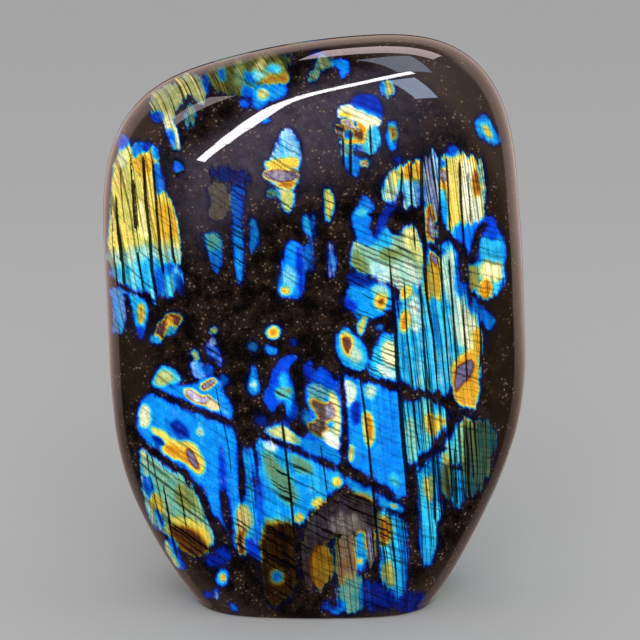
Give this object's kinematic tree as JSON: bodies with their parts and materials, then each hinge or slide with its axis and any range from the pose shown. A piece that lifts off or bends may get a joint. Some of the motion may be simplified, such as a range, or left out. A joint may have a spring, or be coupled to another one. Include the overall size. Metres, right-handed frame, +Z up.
{
  "type": "polished labradorite freeform",
  "caption": "Polished labradorite stone with a broad flashing face and rounded shoulders, standing upright on a flat sawn base.",
  "frame": {"origin": "middle of the stone's bounding box in X and Y, at the height of the flat base that it rests on", "axes": "+Z up along the stone's height, -Y out of the broad polished face, +X to the right seen from that face"},
  "size_m": [0.1134, 0.0588, 0.1508],
  "materials": {
    "polished_labradorite": "polished feldspar: brown-black ground with blue, azure, green and gold flashes in banded patches"
  },
  "bodies": {
    "root": {"labradorite": "polished_labradorite"}
  },
  "joints": []
}
